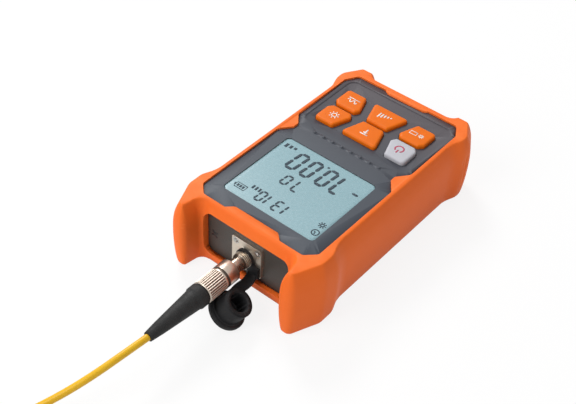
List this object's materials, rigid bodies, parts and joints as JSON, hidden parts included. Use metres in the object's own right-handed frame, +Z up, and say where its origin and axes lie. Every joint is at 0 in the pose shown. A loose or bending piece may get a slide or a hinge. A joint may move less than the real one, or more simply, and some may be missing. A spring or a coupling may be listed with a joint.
{
  "type": "optical power meter",
  "caption": "Hand-held fibre-optic power meter in an orange rubber boot with grey key panel, LCD window, screw-type optical port with tethered dust cap, and a yellow patch cord plugged in",
  "frame": {"origin": "middle of the boot's four feet, on the plane that the meter lies on", "axes": "+Z up out of the display, +Y from the optical port to the tail, +X to the side of the power key"},
  "size_m": [0.1127, 0.3063, 0.0349],
  "materials": {
    "boot_rubber": "satin moulded rubber",
    "panel_plastic": "fine matt texture",
    "case_plastic": "fine matt texture",
    "port_plastic": "matt",
    "window": "clear, glossy",
    "lcd": "pale blue-green reflective cell",
    "light_guide": "frosted",
    "inner_plastic": "plain",
    "contact_rubber": "translucent silicone",
    "circuit_board": "solder mask",
    "chip": "moulded package",
    "screw_steel": "machined",
    "orange_key": "silk-smooth silicone",
    "pale_key": "silk-smooth silicone",
    "nickel": "nickel plated, machined",
    "ceramic": "polished ceramic",
    "cap_rubber": "matt black rubber",
    "black_rubber": "satin black rubber",
    "cord_jacket": "smooth yellow jacket",
    "cell_wrap": "printed sleeve",
    "contact_metal": "nickel plated spring steel"
  },
  "bodies": {
    "meter": {"protective_boot": "boot_rubber", "front_shell": "panel_plastic", "rear_shell": "case_plastic", "end_panel": "port_plastic", "display_window": "window", "lcd_glass": "lcd", "backlight_plate": "light_guide", "lcd_frame": "inner_plastic", "zebra_strip": "contact_rubber", "main_board": "circuit_board", "main_chip": "chip", "board_parts": "chip", "case_screws": "screw_steel", "board_screws": "screw_steel", "adapter_body": "nickel", "adapter_sleeve": "ceramic", "flange_screws": "screw_steel", "detector_holder": "inner_plastic", "detector_can": "nickel", "detector_board": "circuit_board", "plug_body": "nickel", "plug_ferrule": "ceramic", "plug_boot": "black_rubber", "far_plug_body": "nickel", "far_plug_ferrule": "ceramic", "far_plug_boot": "black_rubber", "cord_tube": "cord_jacket", "cord_tail": "cord_jacket", "cord_coil": "cord_jacket", "battery_1": "cell_wrap", "battery_2": "cell_wrap", "battery_3": "cell_wrap", "spring_contacts": "contact_metal", "plate_contacts": "contact_metal", "power_dome": "contact_rubber", "ref_dome": "contact_rubber", "lamp_dome": "contact_rubber", "backlight_dome": "contact_rubber", "db_dome": "contact_rubber", "wavelength_dome": "contact_rubber"},
    "power_button": {"power_key": "pale_key"},
    "ref_button": {"ref_key": "orange_key"},
    "lamp_button": {"lamp_key": "orange_key"},
    "backlight_button": {"backlight_key": "orange_key"},
    "db_button": {"db_key": "orange_key"},
    "wavelength_button": {"wavelength_key": "orange_key"},
    "cap": {"dust_cap": "cap_rubber", "cap_strap": "cap_rubber"},
    "nut_carrier": {"nut_ring": "screw_steel"},
    "nut": {"coupling_nut": "nickel"},
    "far_nut_carrier": {"far_nut_ring": "screw_steel"},
    "far_nut": {"far_coupling_nut": "nickel"},
    "door": {"battery_door": "case_plastic"}
  },
  "joints": [
    {"name": "power_press", "type": "slide", "parent": "meter", "child": "power_button", "axis": [0, 0, -1], "range_m": [0, 0.0008], "stiffness_N_per_m": 1500, "springref_m": -0.0001, "deforming": ["power_dome"]},
    {"name": "ref_press", "type": "slide", "parent": "meter", "child": "ref_button", "axis": [0, 0, -1], "range_m": [0, 0.0008], "stiffness_N_per_m": 1500, "springref_m": -0.0001, "deforming": ["ref_dome"]},
    {"name": "lamp_press", "type": "slide", "parent": "meter", "child": "lamp_button", "axis": [0, 0, -1], "range_m": [0, 0.0008], "stiffness_N_per_m": 1500, "springref_m": -0.0001, "deforming": ["lamp_dome"]},
    {"name": "backlight_press", "type": "slide", "parent": "meter", "child": "backlight_button", "axis": [0, 0, -1], "range_m": [0, 0.0008], "stiffness_N_per_m": 1500, "springref_m": -0.0001, "deforming": ["backlight_dome"]},
    {"name": "db_press", "type": "slide", "parent": "meter", "child": "db_button", "axis": [0, 0, -1], "range_m": [0, 0.0008], "stiffness_N_per_m": 1500, "springref_m": -0.0001, "deforming": ["db_dome"]},
    {"name": "wavelength_press", "type": "slide", "parent": "meter", "child": "wavelength_button", "axis": [0, 0, -1], "range_m": [0, 0.0008], "stiffness_N_per_m": 1500, "springref_m": -0.0001, "deforming": ["wavelength_dome"]},
    {"name": "dust_cap_swing", "type": "hinge", "parent": "meter", "child": "cap", "pos_m": [0, -0.05615, 0.0172], "axis": [0, -1, 0], "range_deg": [0, 170]},
    {"name": "nut_slide", "type": "slide", "parent": "meter", "child": "nut_carrier", "axis": [0, 1, 0], "range_m": [0, 0.005]},
    {"name": "nut_turn", "type": "hinge", "parent": "nut_carrier", "child": "nut", "pos_m": [0, -0.0777, 0.0172], "axis": [0, 1, 0], "continuous": true},
    {"name": "far_nut_slide", "type": "slide", "parent": "meter", "child": "far_nut_carrier", "axis": [0.9456, -0.3067, 0.1086], "range_m": [0, 0.005]},
    {"name": "far_nut_turn", "type": "hinge", "parent": "far_nut_carrier", "child": "far_nut", "pos_m": [0.05006, -0.23282, 0.00603], "axis": [0.9456, -0.3067, 0.1086], "continuous": true},
    {"name": "battery_door_swing", "type": "hinge", "parent": "meter", "child": "door", "pos_m": [0, 0.0033, 0.0042], "axis": [-1, 0, 0], "range_deg": [0, 75]}
  ]
}
